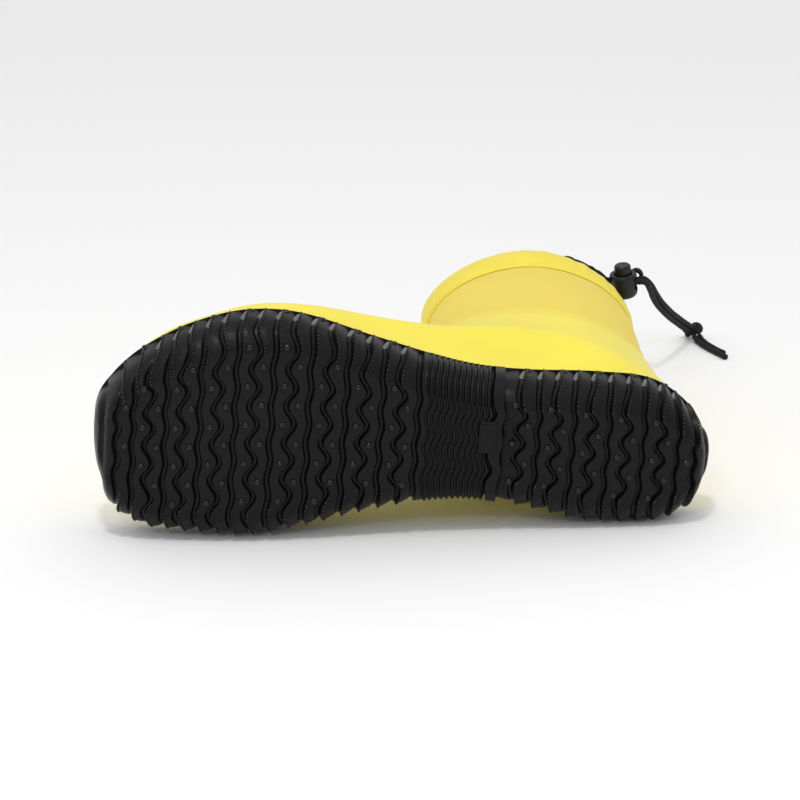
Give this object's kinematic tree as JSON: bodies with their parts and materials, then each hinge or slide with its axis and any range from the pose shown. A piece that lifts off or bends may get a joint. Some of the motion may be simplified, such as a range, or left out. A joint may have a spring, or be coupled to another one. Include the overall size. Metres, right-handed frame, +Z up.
{
  "type": "deck boot",
  "caption": "Short waterproof rubber deck boot lying on its inner side, with a grooved wrap-around sole and a cuff closed by a drawcord and a push-button cord lock.",
  "frame": {"origin": "middle of the footprint of the boot itself, on the floor it lies on, without the free drawcord and its lock", "axes": "-X towards the toe, +X towards the heel, +Y from the sole up the leg to the cuff, +Z up, towards the outer side of the foot"},
  "size_m": [0.3627, 0.3285, 0.1048],
  "materials": {
    "sole_rubber": "black moulded rubber with a satin skin",
    "foot_rubber": "yellow semi-gloss dipped rubber",
    "shaft_rubber": "paler yellow matt rubberised cloth",
    "cuff_cloth": "yellow coated cloth, folded and stitched",
    "lining_fabric": "yellow knitted lining",
    "cord": "black braided elastic cord",
    "lock_plastic": "black moulded plastic",
    "spring_steel": "bright spring wire",
    "foam": "grey cellular foam",
    "board": "tan fibre board"
  },
  "bodies": {
    "boot": {"outsole": "sole_rubber", "sole_filler": "foam", "insole_board": "board", "footbed_foam": "foam", "footbed_cover": "lining_fabric", "foot_shell": "foot_rubber", "toe_puff": "board", "heel_counter": "board", "lining_foot": "lining_fabric", "lining_leg": "lining_fabric", "shaft": "shaft_rubber", "seam_tape": "shaft_rubber", "cuff_casing": "cuff_cloth", "casing_cord": "cord", "eyelet_rear": "lock_plastic", "eyelet_front": "lock_plastic", "cord_strand_a": "cord", "cord_strand_b": "cord", "cord_knot": "cord", "cord_tail_a": "cord", "cord_tail_b": "cord"},
    "cord_lock": {"lock_body": "lock_plastic", "lock_spring": "spring_steel"},
    "lock_button": {"lock_plunger": "lock_plastic"}
  },
  "joints": [
    {"name": "lock_slide", "type": "slide", "parent": "boot", "child": "cord_lock", "axis": [0.9401, -0.3336, 0.0708], "range_m": [0, 0.003]},
    {"name": "button_press", "type": "slide", "parent": "cord_lock", "child": "lock_button", "axis": [0.1247, 0.1432, -0.9818], "range_m": [0, 0.003], "stiffness_N_per_m": 1000, "springref_m": -0.001, "deforming": ["lock_spring"]}
  ]
}
